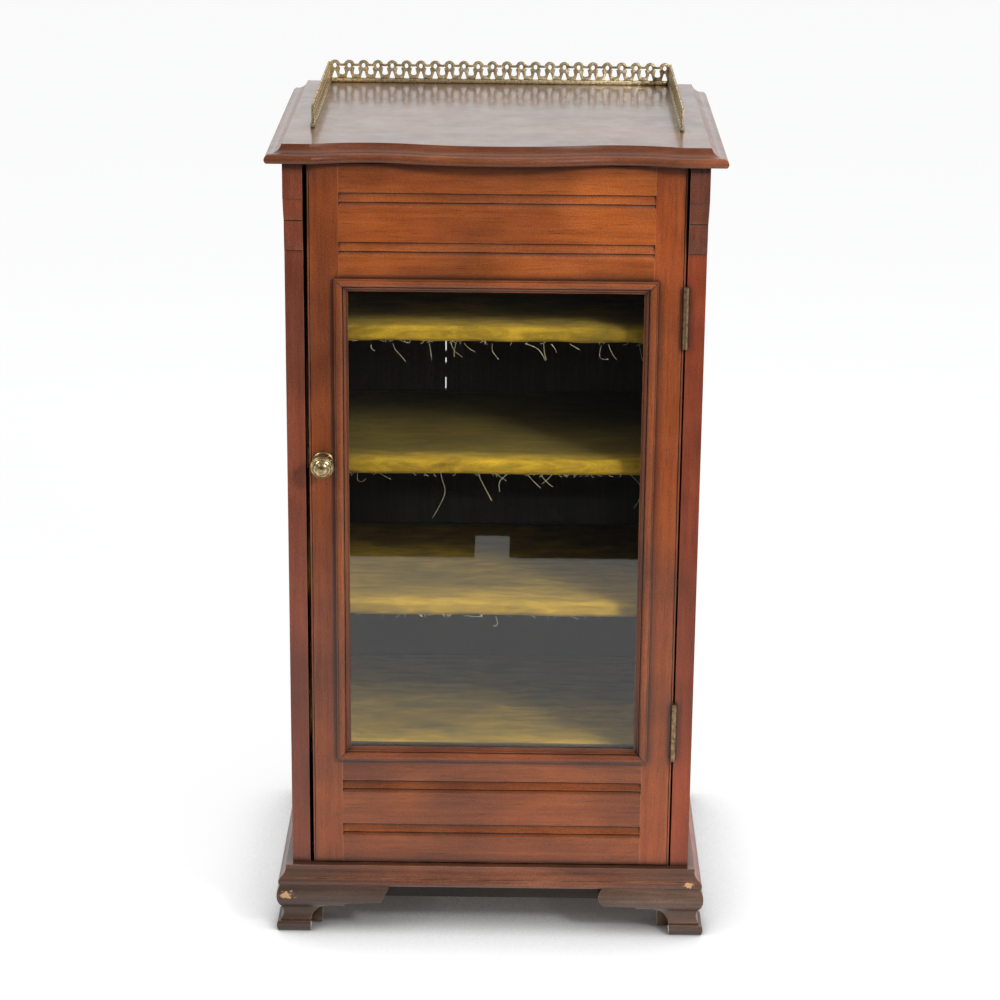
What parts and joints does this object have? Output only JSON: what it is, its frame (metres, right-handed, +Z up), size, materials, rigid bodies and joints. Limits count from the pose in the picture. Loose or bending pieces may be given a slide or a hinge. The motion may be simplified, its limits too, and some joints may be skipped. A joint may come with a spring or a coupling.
{
  "type": "music roll cabinet",
  "caption": "Glazed mahogany music cabinet with velvet-lined shelves, a hinged door with turn catch, bracket feet and a pierced brass gallery.",
  "frame": {"origin": "on the ground, at the middle of the cabinet's bounding box", "axes": "+Z up; the door faces -Y; +X to the viewer's right, which is the hinge side"},
  "size_m": [0.4986, 0.421, 0.9538],
  "materials": {
    "mahogany": "french polished mahogany, worn at the edges",
    "carcase_wood": "dull stained secondary wood",
    "velvet": "faded gold velvet, frayed at the front hem",
    "brass": "aged polished brass",
    "steel": "plain steel",
    "glass": "clear sheet glass"
  },
  "bodies": {
    "carcase": {"side_left": "mahogany", "side_right": "mahogany", "capital_block_left": "mahogany", "capital_block_right": "mahogany", "top_board": "mahogany", "head_rail_front": "carcase_wood", "head_rail_rear": "carcase_wood", "foot_rail": "carcase_wood", "bottom_board": "carcase_wood", "shelf_1": "carcase_wood", "shelf_2": "carcase_wood", "shelf_3": "carcase_wood", "shelf_4": "carcase_wood", "velvet_1": "velvet", "velvet_2": "velvet", "velvet_3": "velvet", "velvet_4": "velvet", "back_board_1": "carcase_wood", "back_board_2": "carcase_wood", "back_board_3": "carcase_wood", "plinth_front": "mahogany", "plinth_left": "mahogany", "plinth_right": "mahogany", "base_rail_front": "carcase_wood", "base_rail_back": "carcase_wood", "base_rail_left": "carcase_wood", "base_rail_right": "carcase_wood", "corner_blocks": "carcase_wood", "foot_backs": "carcase_wood", "foot_front_left": "mahogany", "foot_front_right": "mahogany", "foot_side_front_left": "mahogany", "foot_side_front_right": "mahogany", "foot_side_rear_left": "mahogany", "foot_side_rear_right": "mahogany", "gallery_back": "brass", "gallery_left": "brass", "gallery_right": "brass", "keeper": "brass", "hinge_upper_carcase_leaf": "brass", "hinge_lower_carcase_leaf": "brass", "hinge_pins": "steel"},
    "door": {"door_stile_left": "mahogany", "door_stile_right": "mahogany", "door_rail_head": "mahogany", "door_rail_foot": "mahogany", "moulding_head": "mahogany", "moulding_foot": "mahogany", "moulding_left": "mahogany", "moulding_right": "mahogany", "glass_pane": "glass", "glazing_beads": "mahogany", "knob_rose": "brass", "hinge_upper_door_leaf": "brass", "hinge_lower_door_leaf": "brass"},
    "catch": {"knob": "brass", "catch_spindle": "steel"}
  },
  "joints": [
    {"name": "door_hinge", "type": "hinge", "parent": "carcase", "child": "door", "pos_m": [0.2085, -0.1875, 0.49375], "axis": [0, 0, 1], "range_deg": [0, 150]},
    {"name": "knob_turn", "type": "hinge", "parent": "door", "child": "catch", "pos_m": [-0.19, -0.1845, 0.568], "axis": [0, 1, 0], "range_deg": [0, 90]}
  ]
}
